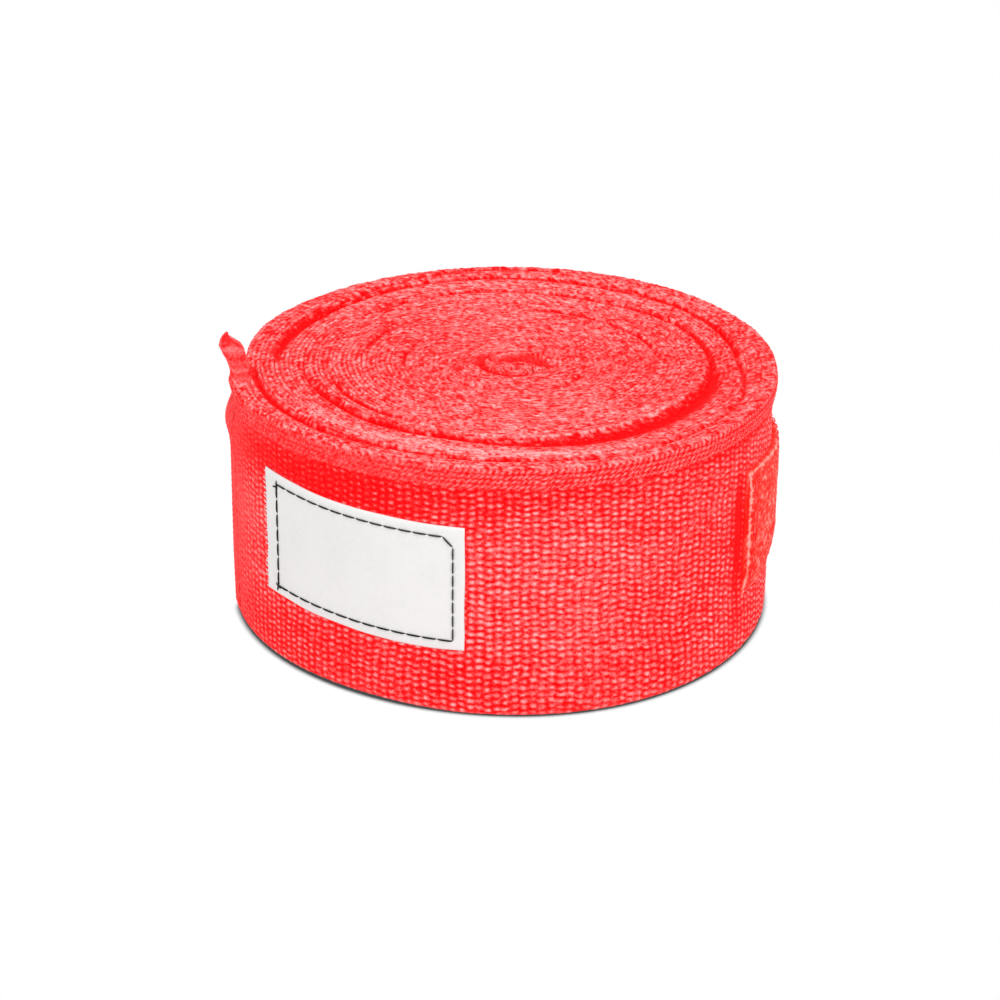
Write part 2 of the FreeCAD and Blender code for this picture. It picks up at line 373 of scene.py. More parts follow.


# Grooves in the roll's top, sunk and painted darker as painted shade in them: bearing, radius, half
# width and strength along each
grooves = [
    [(0, 45.5, 0.5, 0.7), (40, 46.7, 0.6, 0.8), (60, 46.0, 0.6, 0.9), (110, 46.0, 0.6, 0.9),
     (130, 45.0, 0.7, 0.9), (150, 45.1, 1.2, 1.0), (172, 45.1, 1.1, 0.9), (184, 44.8, 0.6, 0.0)],
    [(72, 50.3, 0.4, 0.0), (82, 50.2, 0.45, 0.7), (102, 49.8, 0.45, 0.7), (130, 46.6, 0.5, 0.6),
     (140, 45.6, 0.5, 0.0)],
    [(180, 49.0, 0.5, 0.0), (188, 49.0, 0.6, 0.7), (205, 48.6, 0.6, 0.9), (225, 48.1, 0.65, 1.0),
     (245, 47.1, 0.6, 1.0), (260, 47.4, 0.6, 0.9), (275, 48.2, 0.5, 0.8), (290, 49.5, 0.5, 0.7),
     (320, 48.6, 0.4, 0.35), (340, 48.2, 0.4, 0.35), (360, 45.6, 0.5, 0.6)],
    [(0, 40.2, 0.6, 0.7), (30, 40.4, 0.55, 0.7), (60, 38.5, 0.55, 0.75), (105, 39.0, 0.5, 0.7),
     (130, 37.4, 0.5, 0.5), (138, 37.2, 0.5, 0.0)],
    [(180, 39.6, 0.4, 0.0), (187, 39.5, 0.5, 0.4), (200, 39.0, 0.6, 0.5), (215, 38.3, 0.8, 0.9),
     (235, 38.7, 0.8, 1.0), (250, 38.2, 0.9, 1.0), (262, 38.9, 0.9, 1.0), (275, 39.7, 1.2, 1.0),
     (290, 40.3, 1.9, 1.0), (315, 40.6, 2.2, 1.0), (340, 40.6, 1.8, 1.0), (352, 40.6, 1.2, 0.9),
     (360, 40.2, 0.6, 0.7)],
    [(193, 34.6, 0.4, 0.0), (203, 34.6, 0.5, 0.7), (228, 34.8, 0.5, 0.7), (240, 35.0, 0.4, 0.0)],
    [(0, 30.4, 0.4, 0.0), (10, 30.2, 0.4, 0.5), (75, 28.8, 0.4, 0.5), (84, 28.6, 0.4, 0.0)],
    [(124, 28.2, 0.4, 0.0), (134, 28.2, 0.4, 0.5), (160, 28.2, 0.4, 0.5), (170, 28.2, 0.4, 0.0)],
    [(145, 20.0, 0.4, 0.0), (155, 20.0, 0.4, 0.5), (180, 20.0, 0.4, 0.5), (190, 20.0, 0.4, 0.0)],
    [(228, 14.2, 0.4, 0.0), (238, 14.2, 0.4, 0.5), (258, 14.2, 0.4, 0.5), (266, 14.2, 0.4, 0.0)],
    [(302, 16.2, 0.4, 0.0), (312, 16.2, 0.4, 0.5), (330, 16.2, 0.4, 0.5), (340, 16.2, 0.4, 0.0)],
    [(262, 6.2, 1.2, 0.0), (275, 6.0, 1.3, 0.7), (305, 5.6, 1.3, 0.7), (318, 5.4, 1.0, 0.0)],
]

# Ridges beside the grooves, raised and painted lighter as a painted highlight: bearing, radius, half
# width and strength
ridges = [
    [(200, 43.8, 1.2, 0.0), (215, 44.0, 1.3, 0.8), (250, 43.6, 1.4, 0.9), (275, 45.0, 1.2, 0.9),
     (290, 46.2, 0.9, 0.8), (310, 46.6, 0.8, 0.0)],
    [(250, 36.0, 0.4, 0.0), (262, 36.2, 0.4, 0.6), (280, 37.6, 0.45, 1.0), (325, 37.4, 0.45, 1.0),
     (350, 38.7, 0.4, 0.8), (358, 38.9, 0.4, 0.0)],
    [(20, 43.0, 1.2, 0.0), (50, 43.0, 1.4, 0.4), (120, 42.6, 1.4, 0.5), (160, 41.5, 1.2, 0.0)],
]
groove_depth = 1.3
back_rise = 0.6
top_centre = (-0.5, -0.45)


def along_rings(rings, radius, bearing):
    """The strongest ring at each place of the roll's top."""
    most = np.zeros_like(radius)
    for ring in rings:
        marks, middles, widths, strengths = np.array(ring, float).T
        middle = np.interp(bearing, marks, middles)
        width = np.interp(bearing, marks, widths)
        strength = np.interp(bearing, marks, strengths, left=0.0, right=0.0)
        most = np.maximum(most, strength * bump(radius, middle, width))
    return most


def top_look(points, along, across, number):
    """How far down the strip's upper edge lies, and its shade, with painted shade in the grooves and the
    dips between cords and painted highlight on the ridges. across runs from 0 to 1 over one turn.
    """
    x, y = points[..., 0] - top_centre[0], points[..., 1] - top_centre[1]
    radius, bearing = np.hypot(x, y), np.degrees(np.arctan2(y, x)) % 360
    groove = along_rings(grooves, radius, bearing)
    ridge = along_rings(ridges, radius, bearing)
    wander = 0.06 * (noise(along / 5, number * 1.7, 16) - 0.5)
    thread = np.abs(np.sin(np.pi * top_ridges * (across + wander))) ** 0.7
    clear = 0.3 + 0.8 * noise(x / 13, y / 13, 11) * smooth(8, 34, radius)
    clear = clear + 0.7 * bump(bearing, 185.0, 28.0) * smooth(16, 30, radius)
    ring = np.floor(top_ridges * across) + 3.0 * number
    broken = 0.4 + 1.2 * noise(along / 1.6, ring * 1.7, 17)
    grain = noise(along * 1.7 + 1.5 * across, across * 4.5 + 7.0 * number, 12)
    fleck = noise(along * 2.3 + 2.0 * across, across * 7.0 + 5.0 * number, 13)
    down = groove_depth * groove - 0.3 * ridge + 0.25 * clear * broken * (1 - thread)
    down = down + 0.25 * grain + 0.2 * (noise(along / 30, number * 3.1, 14) - 0.5)
    down = down - back_rise * bump(bearing, 95.0, 55.0) * smooth(43, 50, radius)
    # Painted shade in the dips between the cords, where the top sinks; the grain and flecks are the
    # cloth's own.
    level = 0.49 + 0.4 * clear * broken * (thread - 0.65) + 0.75 * (grain - 0.5) + 0.6 * (fleck - 0.5)
    # Painted shade in the grooves and painted highlight on the ridges; the top is also darker towards
    # its left and right.
    level = level - 0.8 * groove + 0.3 * ridge - 0.09 * np.cos(np.radians(bearing)) ** 2
    return down, level


def strip_stations(first, last, step):
    """Turns a step apart along the strip, from one turn to another."""
    start, end = length_at(first), length_at(last)
    return turn_at(np.linspace(start, end, int(round((end - start) / step)) + 1))[:, None]


def strip_shape(first, last, step, wall, room_in, room_out, outside, rise=0.0, dip=0.0, swell=None):
    """A stretch of the strip: its bottom edge, outward face, upper edge and inward face.

    wall holds the heights on the outward face. room_in and room_out are how far the edges spread
    into the gaps beside them. An outside stretch has a woven, rounded outward face. rise lifts the
    stretch, dip lowers its upper edge, and swell pushes its face out.
    """
    turn = strip_stations(first, last, step)
    along = length_at(turn)
    bearing = (end_bearing + turn) % 360
    number = half_turn_of(turn)
    room_in, room_out, rise, dip = (
        v(turn) if callable(v) else v + 0 * turn for v in (room_in, room_out, rise, dip))
    heights = np.asarray(wall)[None, :] + 0 * turn
    round_top, round_low, rounding = 1.3, 1.6, 0.9
    face = cloth + room_out * (smooth(44.5, 48.8, heights) + smooth(5.5, 1.2, heights))
    if outside:
        relief, face_level = side_look(turn, heights, strip_width)
        over = np.clip((heights - (strip_width - round_top)) / round_top, 0, 1)
        under = np.clip((round_low - heights) / round_low, 0, 1)
        face = face + relief
        for past_edge in (over, under):
            face = face - rounding * (1 - np.sqrt(1 - 0.98 * past_edge ** 2))
        face = face - 0.2 * smooth(14, 0, heights) + 0.3 * (noise(along / 40, heights / 25, 21) - 0.5)
        face = face + right_rim(bearing, heights) + low_rim(bearing, heights)
    else:
        dash, _ = weave(along, heights)
        # The inward faces carry the weave's painted highlight and shade too, fainter.
        face_level = 0.3 + 0.25 * dash
        face = face + 0.1 * dash
    if swell is not None:
        face = face + swell(bearing, heights)
    edge_out = face[:, -1:]
    across = np.linspace(0.02, 0.98, 12)[None, :]
    top_offset = edge_out + (-room_in - edge_out) * across
    flat = on_winding(turn, top_offset, strip_width)
    down, top_level = top_look(flat, along, across, number)
    if outside:
        down = down + 0.25 * bump(across, 0.0, 0.16)
    top_height = strip_width - down
    inner_heights = np.array([49.2, 47.0, 44.5, 30.0, 15.0, 5.5, 2.0])[None, :] + 0 * turn
    inner_offset = -room_in * (smooth(45, 48.5, inner_heights) + smooth(5, 1.5, inner_heights))
    inner_level = 0.3 + 0 * inner_heights
    low_across = np.linspace(0.06, 0.94, 7)[None, :]
    low_offset = -room_in + (face[:, :1] + room_in) * low_across
    low_thread = np.abs(np.sin(np.pi * top_ridges * low_across))
    low_height = 0.03 + 0.3 * (1 - low_thread) + 0 * turn
    low_grain = noise(along * 1.9, low_across * 5.3 + 7.0 * number, 15)
    # The bottom is painted darker where it lifts between the cords: painted shade.
    low_level = 0.35 + 0.25 * low_thread + 0.2 * (low_grain - 0.5)
    heights = heights - down[:, :1] * smooth(36, 49, heights)
    inner_heights = inner_heights - down[:, -1:] * smooth(36, 49, inner_heights)
    offset = np.concatenate([low_offset, face, top_offset, inner_offset], 1)
    height = np.concatenate([low_height, heights, top_height, inner_heights], 1)
    level = np.concatenate([low_level, face_level, top_level, inner_level], 1)
    rise = rise * (1 - smooth(50, 75, turn) * smooth(22, 0, height))
    height = height + rise - dip * smooth(30, 50, height)
    return loft(on_winding(turn, offset, height), level)


def gap_inside(turn):
    """The gap between the strip and the turn inside it: it changes round the roll."""
    past_seam = np.radians(turn - flap_sweep)
    mean, swing = (tight_gap + loose_gap) / 2, (loose_gap - tight_gap) / 2
    room = np.where(turn < flap_sweep + 180, (1 + np.cos(past_seam)) / 2, 0.0)
    room = np.where(turn < flap_sweep, 1.0, room)
    return mean - swing * np.cos(past_seam) + hook_room * room


def inner_room(turn):
    """How far the strip's edges spread inwards, to meet the turn inside."""
    return gap_inside(turn) / 2 + spread_overlap


def outer_room(turn):
    """How far the strip's edges spread outwards, to meet the turn outside."""
    hem = smooth(11.0, 9.0, turn - 360.0)
    return inner_room(turn - 360.0) * (1 - hem) + 0.5 * hem


def right_rim(bearing, heights):
    """The wall lies close on the right, under an upper edge that flares there and at the back left."""
    from_right = (bearing + 180) % 360 - 180
    flare = smooth(43.5, 48.5, heights)
    rim = 1.35 * bump(from_right, 25.0, 45.0) * flare
    rim = rim + 1.2 * bump(bearing, 158.0, 24.0) * smooth(192, 180, bearing) * flare
    return rim - 0.4 * bump(from_right, 0.0, 42.0) * smooth(6, 14, heights)


def low_rim(bearing, heights):
    """The lower edge stands out at the front, to the right of the label."""
    return 1.7 * bump(bearing, 293.0, 34.0) * smooth(16, 2, heights)


def flap_rise(turn):
    """The outer layer's lift, lost towards the stretch where it leaves the roll."""
    return outer_layer_rise * smooth(flap_sweep + 12.0, flap_sweep - 60.0, turn)


def flap_dip(turn):
    """The outer layer's upper edge sags beside the ear."""
    return 0.9 * bump(turn, 13.0, 8.0)


def flap_swell(bearing, heights):
    """The cloth that the hem pushes out near the closure's end."""
    near = bump(bearing, end_bearing + 1.0, 8.0)
    return near * (0.9 * bump(heights, 40.5, 3.2) - 0.7 * bump(heights, 46.0, 2.0))


# ---- materials

red_ramp = [
    (0.0, (1.0, 0.001, 0.003)),
    (0.25, (1.0, 0.022, 0.024)),
    (0.5, (1.0, 0.115, 0.117)),
    (0.75, (1.0, 0.25, 0.25)),
    (1.0, (1.0, 0.45, 0.45)),
]
pile_ramp = [
    (0.0, (0.95, 0.002, 0.002)),
    (0.35, (0.98, 0.028, 0.018)),
    (0.6, (0.99, 0.085, 0.065)),
    (1.0, (1.0, 0.42, 0.36)),
]
thread_ramp = [(0.0, (1.0, 0.02, 0.02)), (0.5, (1.0, 0.09, 0.09)), (1.0, (1.0, 0.26, 0.25))]
label_ramp = [(0.0, (0.5, 0.5, 0.49)), (0.5, (0.77, 0.77, 0.76)), (1.0, (0.86, 0.86, 0.85))]
black_ramp = [(0.0, (0.004, 0.004, 0.004)), (0.5, (0.02, 0.019, 0.018)), (1.0, (0.09, 0.085, 0.08))]
hook_ramp = [(0.0, (0.55, 0.004, 0.006)), (0.5, (0.9, 0.03, 0.03)), (1.0, (1.0, 0.2, 0.19))]


def set_inputs(node, values):
    """Sets inputs of a shader node by their names."""
    for name, value in values.items():
        node.inputs[name].default_value = value


def fibre_material(name, ramp, roughness, grain_mm, grain_share, bump_mm, sheen):
    """Cloth or thread: a shade from the level attribute and fine grain, with fibres in the bump."""
    material = bpy.data.materials.new(name)
    material.use_nodes = True
    nodes, links = material.node_tree.nodes, material.node_tree.links
    shader = nodes["Principled BSDF"]
    set_inputs(shader, {"Roughness": roughness, "Specular IOR Level": 0.05})
    set_inputs(shader, {"Sheen Weight": sheen, "Sheen Roughness": 0.5})
    level = nodes.new("ShaderNodeAttribute")
    level.attribute_name = "level"
    place = nodes.new("ShaderNodeTexCoord")
    grain = nodes.new("ShaderNodeTexNoise")
    set_inputs(grain, {"Scale": 1 / (grain_mm * MM), "Detail": 3.0})
    links.new(place.outputs["Object"], grain.inputs["Vector"])
    spread = nodes.new("ShaderNodeMapRange")
    set_inputs(spread, {"From Min": 0.25, "From Max": 0.75})
    set_inputs(spread, {"To Min": -grain_share, "To Max": grain_share})
    links.new(grain.outputs["Fac"], spread.inputs["Value"])
    total = nodes.new("ShaderNodeMath")
    total.operation = "ADD"
    links.new(level.outputs["Fac"], total.inputs[0])
    links.new(spread.outputs["Result"], total.inputs[1])
    colours = nodes.new("ShaderNodeValToRGB")
    stops = colours.color_ramp.elements
    while len(stops) < len(ramp):
        stops.new(0.5)
    for stop, (position, colour) in zip(stops, ramp):
        stop.position = position
        stop.color = (*colour, 1.0)
    links.new(total.outputs["Value"], colours.inputs["Fac"])
    links.new(colours.outputs["Color"], shader.inputs["Base Color"])
    relief = nodes.new("ShaderNodeBump")
    set_inputs(relief, {"Distance": bump_mm * MM, "Strength": 0.6})
    links.new(grain.outputs["Fac"], relief.inputs["Height"])
    links.new(relief.outputs["Normal"], shader.inputs["Normal"])
    return material


# Each slot's ramp, roughness, grain and its share, depth of the fibres in mm, and sheen
look_values = {
    "red_weave": (red_ramp, 0.95, 0.42, 0.2, 0.07, 0.02),
    "red_tape": (red_ramp, 0.9, 0.42, 0.16, 0.06, 0.02),
    "loop_pile": (pile_ramp, 0.95, 0.45, 0.22, 0.12, 0.03),
    "red_thread": (thread_ramp, 0.8, 0.15, 0.1, 0.03, 0.02),
    "label_cloth": (label_ramp, 0.8, 0.5, 0.06, 0.03, 0.05),
    "black_thread": (black_ramp, 0.6, 0.15, 0.2, 0.03, 0.0),
    "hook_tape": (hook_ramp, 0.5, 0.4, 0.08, 0.02, 0.0),
}
looks = {slot: fibre_material(slot, *values) for slot, values in look_values.items()}


# ---- strip

fine_wall = np.linspace(0.5, 49.6, 160)
flap_wall = np.linspace(0.5, 49.6, 236)
hidden_wall = np.array([1.2, 5.0, 18.0, 32.0, 44.5, 47.0, 49.2])


def seam_point(turn):
    """The middle of the strip at a turn, in metres."""
    return Vector(on_winding(np.array(turn), cloth / 2, strip_width / 2 + outer_layer_rise) * MM)


def make_strip():
    """The whole strip, from the closure's end to the core, in pieces that meet at their sections."""
    def room_in_flap(turn):
        return inner_room(turn) - 0.05

    flap = (0.31, flap_wall, room_in_flap, 0.0, True, flap_rise, flap_dip)
    outer = (0.42, fine_wall, inner_room, 0.0, True, flap_rise)
    covered = (0.42, fine_wall, inner_room, outer_room, True)
    winding = (0.43, hidden_wall, inner_room, outer_room, False)
    covered_end = flap_sweep + 360.0
    made = {}
    for name, node, body, first, last, how in (
        ("closure_cloth", "closure_end", None, 0.0, seam_turn, (*flap, flap_swell)),
        ("lead_cloth", "strip_lead", None, seam_turn, lead_start_turn, flap),
        ("outer_turn_cloth", "wound_strip", "roll", lead_start_turn, 360.0, outer),
        ("covered_turn_cloth", "wound_strip", "roll", 360.0, covered_end, covered),
        ("outer_winding_cloth", "wound_strip", "roll", covered_end, winding_split_turn, winding),
        ("inner_winding_cloth", "wound_strip", "roll", winding_split_turn, last_turn, winding),
    ):
        piece = make_piece(name, [strip_shape(first, last, *how)], "red_weave", node, body)
        made[name] = piece
    for name, start_body, end_body, hinge in (
        ("closure_cloth", "lead", "closure", fold_bearing - end_bearing),
        ("lead_cloth", "roll", "lead", flap_sweep),
    ):
        start, end = seam_point(hinge + hinge_half_turn), seam_point(hinge - hinge_half_turn)
        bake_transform(made[name])


# ---- thumb loop

def along_arcs(path, offset, step):
    """Points and left-hand normals along a path of tangent arcs, at an offset to its left."""
    points, normals = [], []
    for centre, radius, start, sweep in path:
        side_radius = radius - offset if sweep > 0 else radius + offset
        count = max(3, int(round(abs(math.radians(sweep)) * side_radius / step)) + 1)
        angle = np.radians(start + np.linspace(0.0, sweep, count))
        outward = np.stack([np.cos(angle), np.sin(angle)], -1)
        points.append(np.array(centre) + side_radius * outward)
        normals.append(-outward if sweep > 0 else outward)
    return np.concatenate(points), np.concatenate(normals)


# Arcs round the roll's eye where the thumb loop's top sinks, painted darker as painted shade, set like
# the grooves but from the eye's own centre
eye_shaded_arcs = [
    [(130, 8.0, 0.5, 0.0), (150, 7.6, 0.8, 0.6), (175, 6.2, 1.1, 1.0), (205, 5.2, 1.3, 0.9),
     (237, 4.5, 1.5, 0.9), (275, 4.4, 1.7, 1.0), (308, 4.6, 1.3, 0.8), (325, 4.6, 0.8, 0.0)],
    [(0, 7.2, 0.7, 0.5), (31, 5.7, 1.0, 0.9), (69, 4.9, 1.0, 0.9), (111, 4.0, 0.9, 0.8),
     (138, 5.4, 0.7, 0.4), (150, 6.0, 0.5, 0.0), (350, 7.8, 0.5, 0.0), (360, 7.2, 0.7, 0.5)],
]
eye_centre = centres[1]


def ribbon_on(points, normals, thickness, low, high, seed):
    """A cloth ribbon that stands along a line, with rounded edges and a fine grain, sunk and given
    painted shade along the eye's arcs.
    """
    half, flared = thickness / 2, thickness / 2 + 0.28
    heights = np.array([low + 0.5, low + 6, (low + high) / 2, high - 6, high - 2.5, high - 0.7])
    across = np.linspace(1, -1, 9)
    wall = np.where(heights > high - 3, flared, half)
    offset = np.concatenate([wall, across * 0.94 * flared, -wall[::-1], -across * 0.92 * half])
    height = np.concatenate([heights, high - 0.3 * across ** 2, heights[::-1], low + 0.35 * across ** 2])
    s = np.concatenate([[0.0], np.cumsum(np.linalg.norm(np.diff(points, axis=0), axis=1))])[:, None]
    grain = noise(s * 2.1, offset[None, :] * 3 + 50, seed)
    height = height[None, :] - 0.35 * grain * (height[None, :] > (low + high) / 2)
    flat = points[:, None, :] + normals[:, None, :] * offset[None, :, None]
    x, y = flat[..., 0] - eye_centre[0], flat[..., 1] - eye_centre[1]
    arc = along_rings(eye_shaded_arcs, np.hypot(x, y), np.degrees(np.arctan2(y, x)) % 360)
    height = height - 0.9 * arc * (height > high - 3)
    placed = np.concatenate([flat, np.broadcast_to(height, flat.shape[:2])[..., None]], -1)
    fleck = noise(s * 2.3, offset[None, :] * 5 + 70, seed + 1)
    # Painted shade along the eye's arcs; the grain and flecks are the cloth's own.
    level = 0.48 + 0.8 * (grain - 0.5) + 0.8 * (fleck - 0.5) - 0.7 * arc
    return loft(placed, level)


def seam_side():
    """The bearing of the strip's inner end."""
    return seam_bearing if side(0) > 0 else seam_bearing + 180.0


def thumb_loop_path():
    """The loop's middle line, from its sewn end to its folded end: centre, radius, start and sweep."""
    bearing, centre = seam_side(), centres[1]
    skipped = degrees_along(sewn_gap, loop_radius(0))
    path = [(centre, loop_radius(0), bearing + skipped, 180.0 - skipped)]
    for number in range(1, loop_half_turns):
        bearing += 180.0
        step = loop_radius(number - 1) - loop_radius(number)
        angle = math.radians(bearing)
        centre = (centre[0] + step * math.cos(angle), centre[1] + step * math.sin(angle))
        path.append((centre, loop_radius(number), bearing, 180.0))
    return path


def make_thumb_loop():
    """Cloth folded flat into two layers and rolled up in the core, with the slot between them."""
    path = thumb_loop_path()
    layer = thumb_slot / 2 + loop_cloth / 2
    left, left_normal = along_arcs(path, layer, 0.4)
    right, right_normal = along_arcs(path, -layer, 0.4)
    end = (left[-1] + right[-1]) / 2
    across = (left[-1] - right[-1]) / 2
    ahead = np.array([across[1], -across[0]])
    turn = np.radians(np.linspace(12, 168, 9))[:, None]
    fold_normal = (np.cos(turn) * across + np.sin(turn) * ahead) / layer
    line = np.concatenate([left, end + fold_normal * layer, right[::-1]])
    normal = np.concatenate([left_normal, fold_normal, -right_normal[::-1]])
    low = (strip_width - loop_cloth_width) / 2
    shape = ribbon_on(line, normal, loop_cloth, low, low + loop_cloth_width, 31)
    piece = make_piece("thumb_loop_cloth", [shape], "red_tape", "thumb_loop", "roll")


# ---- threads

def tube(line, radius, sides=6):
    """A closed thread along a line of points, thinner at both ends, painted lighter on one side and
    darker on the other.
    """
    line = np.asarray(line, float)
    tangent = np.gradient(line, axis=0)
    tangent /= np.linalg.norm(tangent, axis=1)[:, None]
    helper = np.where(np.abs(tangent[:, 2:3]) > 0.9, [[1.0, 0.0, 0.0]], [[0.0, 0.0, 1.0]])
    first = np.cross(tangent, helper)
    first /= np.linalg.norm(first, axis=1)[:, None]
    second = np.cross(tangent, first)
    angle = np.linspace(0, 2 * np.pi, sides, endpoint=False)[None, :, None]
    share = np.linspace(-1, 1, len(line))
    swell = (radius * (1 - 0.45 * share ** 4))[:, None, None]
    ring = line[:, None, :] + swell * (np.cos(angle) * first[:, None] + np.sin(angle) * second[:, None])
    # Painted highlight and shade round the thread: one side lighter, the other darker.
    level = 0.5 + 0.25 * np.cos(angle[..., 0]) + 0 * ring[..., 0]
    return loft(ring, level)


def stitch_line(start, end, place, radius, sink=0.3, bow=0.16, points=7):
    """One stitch between two places on a surface: its ends dive into the cloth."""
    share = np.linspace(0, 1, points)[:, None]
    where = np.array(start)[None, :] * (1 - share) + np.array(end)[None, :] * share
    lift = bow - (sink + bow) * np.abs(2 * share[:, 0] - 1) ** 6
    return tube(place(where[:, 0], where[:, 1], lift), radius)


def run_of_stitches(corners, place, radius, length, gap, closed, sink=0.3):
    """Stitches along straight runs between corners on a surface."""
    made = []
    ends = corners[1:] + corners[:1] if closed else corners[1:]
    for (a0, h0), (a1, h1) in zip(corners, ends):
        run = math.hypot(a1 - a0, h1 - h0)
        count = max(1, round((run + gap) / (length + gap)))
        for number in range(count):
            first = number / count
            last = (number + 1) / count - gap / run
            start = (a0 + (a1 - a0) * first, h0 + (h1 - h0) * first)
            end = (a0 + (a1 - a0) * last, h0 + (h1 - h0) * last)
            made.append(stitch_line(start, end, place, radius, sink))
    return made


# ---- label

def from_edge(across, up, length, height):
    """How far each place on a rectangle lies from its nearest edge."""
    return np.minimum(np.minimum(across, 1 - across) * length, np.minimum(up, 1 - up) * height)


label_end = fold_bearing - degrees_along(label_to_fold, layer_radius)
label_start = label_end - degrees_along(label_length, layer_radius)
label_shift = 0.8
label_tilt = 1.9


def on_label(along, height, lift):
    """A point on the label's face: along from its left end, height from its lower edge."""
    bearing = label_start + np.degrees((along + label_shift) / layer_radius)
    wave = 0.12 * (noise(along / 9, height / 9, 41) - 0.5)
    reach = layer_radius + 0.12 + label_thickness + wave + lift
    return on_layer(bearing, reach, label_lift + height + label_tilt * (0.5 - along / label_length))


def make_label():
    """A bare woven label, slightly uneven along its edges and frayed at its left end."""
    across = np.linspace(0, 1, 150)[:, None]
    up = np.linspace(0, 1, 84)[None, :]
    left = 1.0 + 0.35 * (noise(up * 9, 0.5, 42) - 0.5) + 0.25 * (noise(up * 40, 0.5, 43) - 0.5)
    right = 0.3 * (noise(up * 7, 0.5, 44) - 0.5)
    low = 0.5 * (noise(across * 7, 0.5, 45) - 0.5)
    high = 0.5 * (noise(across * 6, 0.5, 46) - 0.5)
    along = left + (label_length + right - left) * across
    height = low + (label_height + high - low) * up
    fine = 0.02 * np.sin(2 * np.pi * along / 0.55) * np.sin(2 * np.pi * height / 0.55)
    edge = from_edge(across, up, label_length, label_height)
    lift = fine - 0.14 * bump(edge, 0.0, 0.5)
    front = on_label(along, height, lift)
    back = on_label(along, height, lift - label_thickness + 0.06 + 0.1 * bump(edge, 0.0, 0.5))
    loops = np.concatenate([front, back[:, ::-1]], 1)
    # The label's threads are painted lighter where they stand up: a painted highlight.
    weave_level = 0.5 + 4.0 * fine + 0.07 * (noise(along / 5, height / 5, 47) - 0.5)
    weave_level = weave_level + 0.25 * bump(edge, 0.0, 0.35)
    level = np.concatenate([weave_level, weave_level[:, ::-1] - 0.1], 1)
    shapes = [loft(loops, level)]
    frays = 26
    for number in range(frays):
        chance = float(hashed(number, 1, 48))
        start_height = label_height * (number + 0.5 * chance) / frays
        reach = 0.35 + 0.8 * chance
        line_along = np.linspace(1.6, 1.0 - reach, 6)
        line_height = start_height + 0.5 * (chance - 0.6) * np.linspace(0, 1, 6) ** 2
        line = on_label(line_along, line_height, -0.2)
        points, quads, caps, _ = tube(line, 0.1, 5)
        shapes.append((points, quads, caps, np.full(len(points), 0.75)))
    piece = make_piece("label_sheet", shapes, "label_cloth", "label", "closure")


def make_label_stitching():
    """Black lock stitches inside the label's edge, with a cut corner and crossing thread ends."""
    left, right, low, high, cut = 4.9, label_length - 2.1, 2.0, label_height - 1.9, 1.9
    corners = [(left, high), (right - cut, high), (right, high - cut), (right, low), (left, low)]
    shapes = run_of_stitches(corners, on_label, 0.17, 2.9, 0.06, True, 0.09)
    for start, end in (
        ((left - 1.3, high - 0.9), (left + 0.2, high - 0.5)),
        ((left - 0.5, low - 1.3), (left + 0.15, low + 0.5)),
        ((left - 0.9, low + 0.2), (left + 0.6, low - 0.5)),
        ((left + 0.1, high - 1.0), (left - 0.1, high + 0.7)),
    ):
        shapes.append(stitch_line(start, end, on_label, 0.16, sink=0.05, bow=0.12, points=5))
    make_piece("label_thread", shapes, "black_thread", "label_stitching", "closure")


# ---- loop patch

patch_middle = strip_width / 2
patch_centre = centres[half_turns - 1]


def on_patch(along, height, lift):
    """A point on the loop patch's face: along from its first end, height from its lower edge."""
    bearing = loop_bearing + np.degrees(along / roll_radius)
    settled = 0.9 * smooth(6, 0, height) + 0.4 * smooth(loop_height - 4, loop_height, height)
    reach = roll_radius + loop_thickness - 0.35 - settled + lift
    return on_layer(bearing, reach, patch_middle - loop_height / 2 + height, patch_centre)


def make_loop_patch():
    """Soft loop tape: a fuzzy pile with pale cut edges, a painted highlight where the pile stands higher
    and painted shade inside its left end.
    """
    across = np.linspace(0, 1, 230)[:, None]
    up = np.linspace(0, 1, 110)[None, :]
    left = 0.35 * (noise(up * 11, 0.5, 51) - 0.5)
    low = 0.4 * (noise(across * 16, 0.5, 52) - 0.5)
    high = 0.4 * (noise(across * 15, 0.5, 53) - 0.5)
    along = left + (loop_length - left) * across
    height = low + (loop_height + high - low) * up
    pile = noise(along / 1.1, height / 0.6, 54) * 0.75 + noise(along / 4, height / 2.2, 55) * 0.25
    edge = from_edge(across, up, loop_length, loop_height)
    lift = 0.35 * (pile - 0.5) - 0.4 * bump(edge, 0.0, 0.5)
    height = height - 2.2 * smooth(4, 26, along) * smooth(15, loop_height, height)
    front = on_patch(along, height, lift)
    back = on_layer(loop_bearing + np.degrees(along / roll_radius), roll_radius - 0.45,
                    patch_middle - loop_height / 2 + height, patch_centre)
    loops = np.concatenate([front, back[:, ::-1]], 1)
    # The pile is painted lighter where it stands higher: a painted highlight on its tufts.
    pile_level = 0.5 + 0.7 * (pile - 0.5) + 0.5 * (noise(along * 1.6, height * 2.6, 56) - 0.5)
    # Painted shade just inside the patch's left end.
    pile_level = pile_level - 0.3 * bump(along, 2.2, 1.3) * bump(edge, 2.0, 2.0)
    pile_level = pile_level + 0.5 * bump(edge, 0.4, 0.25)
    level = np.concatenate([pile_level, np.full_like(pile_level, 0.3)], 1)
    piece = make_piece("loop_tape", [loft(loops, level)], "loop_pile", "loop_patch", "roll")


def framed(place, length, height, inset, radius):
    """Stitches round a patch, set in from its edges."""
    far, high = length - inset, height - inset
    corners = [(inset, inset), (far, inset), (far, high), (inset, high)]
    return run_of_stitches(corners, place, radius, 2.6, 0.5, True)


